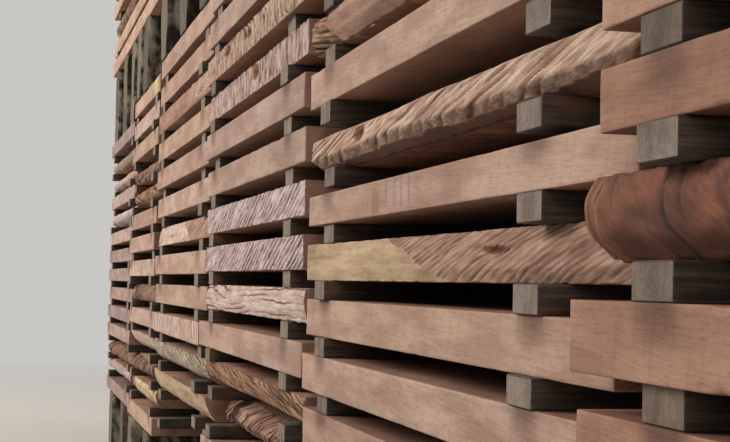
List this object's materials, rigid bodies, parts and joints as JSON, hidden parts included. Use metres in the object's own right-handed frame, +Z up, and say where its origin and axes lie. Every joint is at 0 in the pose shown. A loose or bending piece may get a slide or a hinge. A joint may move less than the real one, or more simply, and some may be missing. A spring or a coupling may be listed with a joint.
{
  "type": "stack of lumber",
  "caption": "Long stickered stack of sawn boards in two tiers, boards laid end to end in columns, layers kept apart by spacer sticks, on bark-sided bearers.",
  "frame": {"origin": "on the floor under the middle of the stack's bounding box", "axes": "+X along the stack, towards the nearest column of the picture; +Z up; the pictured face looks to -Y"},
  "size_m": [6.357, 0.989, 1.8591],
  "materials": {
    "sawn_beech": "rough sawn pinkish beech, dry, unpainted",
    "waney_beech": "natural edge with torn fibres and bark left on",
    "sticker_wood": "weathered grey spacer sticks",
    "bearer_wood": "sawn faces with grey-green bark on the sides",
    "packing_wood": "rough sawn, weathered"
  },
  "bodies": {
    "root": {"bearers_bottom": "bearer_wood", "bearers_middle": "bearer_wood", "boards_lower_1": "sawn_beech", "boards_lower_2": "sawn_beech", "boards_lower_3": "sawn_beech", "boards_lower_4": "sawn_beech", "boards_lower_5": "sawn_beech", "boards_lower_6": "sawn_beech", "boards_upper_1": "sawn_beech", "boards_upper_2": "sawn_beech", "boards_upper_3": "sawn_beech", "packing_boards": "packing_wood", "stickers_lower_1": "sticker_wood", "stickers_lower_2": "sticker_wood", "stickers_lower_3": "sticker_wood", "stickers_lower_4": "sticker_wood", "stickers_lower_5": "sticker_wood", "stickers_lower_6": "sticker_wood", "stickers_upper_1": "sticker_wood", "stickers_upper_2": "sticker_wood", "stickers_upper_3": "sticker_wood", "waney_boards_lower_1": "waney_beech", "waney_boards_lower_2": "waney_beech", "waney_boards_lower_3": "waney_beech", "waney_boards_lower_4": "waney_beech", "waney_boards_lower_5": "waney_beech", "waney_boards_lower_6": "waney_beech", "waney_boards_upper": "waney_beech"}
  },
  "joints": []
}
